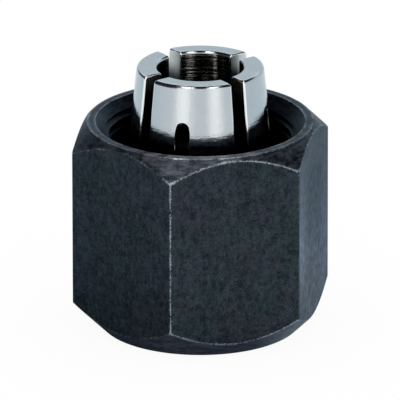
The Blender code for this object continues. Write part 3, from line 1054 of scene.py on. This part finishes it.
def bowed(height, kind):
    """Height of a row's points across a bridge, bowed round the slot's end."""
    bow = np.sqrt(half_slot ** 2 - bridge_places ** 2)
    still, arch = (REAR_STILL, rear_arch) if kind == "rear" else (FRONT_STILL, front_arch)
    share = (height - still) / (arch - still)
    return height + (-bow if kind == "rear" else bow) * min(max(share, 0.0), 1.0)


def softness(kind, k):
    """How much a slot's edge is broken at a point of the section, 1 being the most."""
    if heights[k] < HIDDEN_BELOW:
        return 0.3
    if kind == "front" and heights[k] < front_arch - 0.2:
        return 0.2
    return 0.5 if k >= rows_outside + 1 else 1.0


print("rows still at", REAR_STILL, "and", FRONT_STILL, "mm, bowed most at",
      round(rear_arch, 3), "and", round(front_arch, 3), "mm")

# %% Bridges and slot walls
outer_arch = {"rear": section.index(tuple(map(float, arch_on_cone))),
              "front": section.index(tuple(map(float, arch_on_taper)))}
inner_arch = {"rear": section.index((CLAMP_BORE, float(rear_arch))),
              "front": section.index((REAR_BORE, float(front_arch)))}

for i, (turn, kind) in enumerate(slots):
    left, right_strip = strips[i - 1], strips[i]
    outer, inner = outer_arch[kind], inner_arch[kind]
    line = cone if kind == "rear" else taper
    over_front = [k % row_count for k in range(inner, outer + row_count + 1)]
    over_rear = list(range(outer, inner + 1))
    bridge, wall = (over_front, over_rear) if kind == "rear" else (over_rear, over_front)
    rows = {}
    for k in bridge:
        height = bowed(heights[k], kind)
        radius = np.full(len(height), radii[k])
        if k < rows_outside and line[0][1] <= heights[k] <= line[1][1]:
            radius = radius_at(line, height)
        angle = math.radians(turn) + np.arcsin(bridge_places / radius)
        rows[k] = [left[k][-1]] + collet_skin.row(radius, angle, height) + [right_strip[k][0]]
    for a, b in zip(bridge, bridge[1:]):
        collet_skin.span(rows[a], rows[b], row_cut[a])
    collet_skin.span(rows[inner], rows[outer], MILLED)
    for edge in ([row[-1] for row in left], [row[0] for row in right_strip]):
        collet_skin.plate([edge[k] for k in wall], MILLED)
        for a, b in zip(wall, wall[1:]):
            collet_skin.soft_edges[edge[a], edge[b]] = softness(kind, b)
    for k in (inner, outer):
        for pair in zip(rows[k], rows[k][1:]):
            collet_skin.soft_edges[pair] = softness(kind, k)
print(len(slots), "slots,", len(collet_skin.soft_edges), "edges to break")

# %% [markdown]
# ## Steel finishes of the collet
# Four tools leave four finishes. The outside is ground and polished: a bright
# mirror with a faint haze, hair-fine lines round the cone and a ripple that only
# its reflections show. The slots are sawn and keep a duller, lined wall. The bore
# is turned and shows its rings. The slots' edges are broken with a small Bevel
# and burnished brighter than the rest.
#
# Deeper down the shine gives way to painted darkness. Outside it is a painted
# dark reflection of the nut's mouth, which starts at the collet's foot with a
# ragged border, a little higher on the camera's right. Inside it is painted
# shade: the slots and the bore go black towards the axis. One helper gives all
# these finishes, because they differ in their numbers only.

# %% One helper for bright steel
# Where painted shade and the painted dark reflection lie: towards the axis, at the foot, and higher
# on one side
BLACK_TO_BRIGHT = (2.6, 7.2)
FOOT_TO_UNSHADED = (20.9, 22.4)
DARK_REFLECTION_SIDE, DARK_REFLECTION_TOP, DARK_REFLECTION_SHARE = (0.75, 0.95), (24.2, 23.4), 0.88


def steel(name, colour, haze, line_factors, line_depth, spread, deep=None, unshaded_depth=1.0,
          fade=2.0, waves=0.0, outside=False, open_radius=None):
    """Bright steel with tool lines. The line factors stretch the noise along the tool's path.

    The dark colour that it may take is painted: painted shade inside, and a
    painted dark reflection outside. The steel keeps its own colour down to a depth
    under the rim and fades over the next millimetres. Waves ripple the steel and
    fray the border of that painted darkness. An outside face takes the painted
    dark reflection higher on one side, and beyond the open radius it stays
    unshaded down to the foot. The other faces get painted shade that goes black
    towards the axis.
    """
    material, start = new_finish(name)
    place = place_in_mm(start)
    lines = noise(start, stretched(start, place, line_factors), 1.0, 3.0, 0.6)
    smear = noise(start, place, 0.6, 3.0, 0.6)
    shade = blended(limited((smear - 0.5) * 1.2 + (lines - 0.5) * 0.5 + 0.5),
                    [c * (1 - spread) for c in colour] + [1],
                    [c * (1 + spread) for c in colour] + [1])
    # Painted shade inside and a painted dark reflection outside take the place of the steel's own
    # colour
    if deep:
        from_axis, height = radius_and_height(start, place)
        unshaded_end = COLLET_REAR - unshaded_depth
        frayed = height + (noise(start, place, 2.4, 3.0, 0.6) - 0.5) * waves
        unshaded = ramp(frayed, unshaded_end - fade, unshaded_end)
        if open_radius:
            open_part = ramp(from_axis, open_radius - 1, open_radius) * ramp(height, *FOOT_TO_UNSHADED)
            unshaded = limited(unshaded + open_part)
        # Painted dark reflection, reaching higher on the camera's right
        if outside:
            dark_reflection_side = ramp(towards(start, place, right), *DARK_REFLECTION_SIDE) * ramp(height, *DARK_REFLECTION_TOP)
            unshaded = unshaded * (1 - dark_reflection_side * DARK_REFLECTION_SHARE)
        else:
            shade = blended(ramp(from_axis, *BLACK_TO_BRIGHT), (0.0, 0.0, 0.0, 1), shade)
        shade = blended(unshaded, (*deep, 1), shade)
    ripple = noise(start, place, 2.6)
    bump = start.node("ShaderNodeBump", sockets={
        "Strength": 0.25, "Distance": line_depth * MM, "Height": lines + ripple * waves})
    show(start, start.node("ShaderNodeBsdfPrincipled", sockets={
        "Base Color": shade, "Metallic": 1.0,
        "Roughness": (smear - 0.5) * 0.10 + (lines - 0.5) * 0.06 + haze, "Normal": bump}))
    return material


# The height printed is where the painted dark reflection reaches
print("painted dark reflection reaches up to", DARK_REFLECTION_TOP[0], "mm on one side")

# %% Finishes and broken edges of the collet
# Painted darkness: the dark reflection at the foot, shade in the slots, and black inside
PAINTED_DARK_FOOT, PAINTED_SHADE_SLOTS, PAINTED_BLACK = (0.06, 0.055, 0.05), (0.03, 0.03, 0.03), (0.004, 0.004, 0.004)
EDGE_BREAK = 0.25 * MM

ground = steel("ground_steel", (0.47, 0.52, 0.55), haze=0.11, line_factors=(0.4, 0.4, 4.5),
               line_depth=0.03, spread=0.05, deep=PAINTED_DARK_FOOT, unshaded_depth=5.85, fade=0.5,
               waves=1.3, outside=True)
milled = steel("sawn_steel", (0.72, 0.72, 0.69), haze=0.21, line_factors=(5.0, 5.0, 0.8),
               line_depth=0.010, spread=0.12, deep=PAINTED_SHADE_SLOTS)
bored = steel("bored_steel", (0.62, 0.61, 0.57), haze=0.10, line_factors=(0.2, 0.2, 4.4),
              line_depth=0.26, spread=0.5, deep=PAINTED_BLACK, unshaded_depth=2.5)
burnished = steel("burnished_edge", (0.72, 0.76, 0.78), haze=0.12, line_factors=(0.5, 0.5, 5.0),
                  line_depth=0.004, spread=0.04, deep=PAINTED_BLACK, unshaded_depth=2.5,
                  outside=True, open_radius=6.6)

collet = make_piece(collet_skin, "collet_skin", "spring_collet", "collet",
                    [ground, milled, bored, burnished], 26)
breaking = collet.modifiers.new("broken_edges", "BEVEL")
breaking.limit_method = "WEIGHT"
breaking.width = EDGE_BREAK
breaking.segments = 4
breaking.use_clamp_overlap = False
breaking.harden_normals = True
breaking.material = BURNISHED
print("slot edges broken by up to", round(EDGE_BREAK / MM, 2), "mm")

# %% [markdown]
# ## Retaining ring
# An open ring of round spring wire, deep in the nut. It snaps into the nut's
# groove and reaches into the collet's, so that undoing the nut draws the collet
# off the spindle. A circle carried along an arc makes it. Its cut ends are
# dressed with a small chamfer, as wire ends are.

# %% Wire and its cut ends
WIRE_RADIUS = 0.8
RING_MIDDLE_RADIUS, RING_HEIGHT = 8.799, 8.975
RING_OPENING, RING_TURN = math.radians(26), math.radians(90)
WIRE_SIDES, WIRE_STATIONS, PAST_DRESSED = 24, 110, 0.06
# Distance from a cut end in mm, and the share of the wire's radius there
DRESSED_END = ((0.0, 0.80), (0.05, 0.92), (0.14, 0.985), (0.26, 1.0))

around = np.linspace(0, 2 * math.pi, WIRE_SIDES + 1)[:-1]
first, last = RING_TURN + RING_OPENING / 2, RING_TURN - RING_OPENING / 2 + 2 * math.pi
stations = [(first + mm / RING_MIDDLE_RADIUS, share) for mm, share in DRESSED_END]
stations += [(a, 1.0)
             for a in np.linspace(first + PAST_DRESSED, last - PAST_DRESSED, WIRE_STATIONS)]
stations += [(last - mm / RING_MIDDLE_RADIUS, share) for mm, share in reversed(DRESSED_END)]
ring_skin = Skin()
wire = [ring_skin.row(RING_MIDDLE_RADIUS + WIRE_RADIUS * share * np.cos(around), angle,
                      RING_HEIGHT + WIRE_RADIUS * share * np.sin(around))
        for angle, share in stations]
for low, high in zip(wire, wire[1:]):
    ring_skin.span(low + low[:1], high + high[:1])
ring_skin.plate(wire[0])
ring_skin.plate(wire[-1])
spring = steel("spring_wire", (0.27, 0.27, 0.27), haze=0.28, line_factors=(1.5, 1.5, 9.0),
               line_depth=0.006, spread=0.15)
make_piece(ring_skin, "ring_skin", "retaining_ring", "ring", [spring], 40)

# %% [markdown]
# ## Size
# The skins have to be as large as the solids that they stand for, so both boxes
# are written down before the scene is finished.

# %% Compare the sizes and finish
dressed_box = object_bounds()
for name, (low, high) in (("solids", cad_box), ("skins", dressed_box)):
    print(name, [round(v * 1000, 3) for v in low], [round(v * 1000, 3) for v in high])
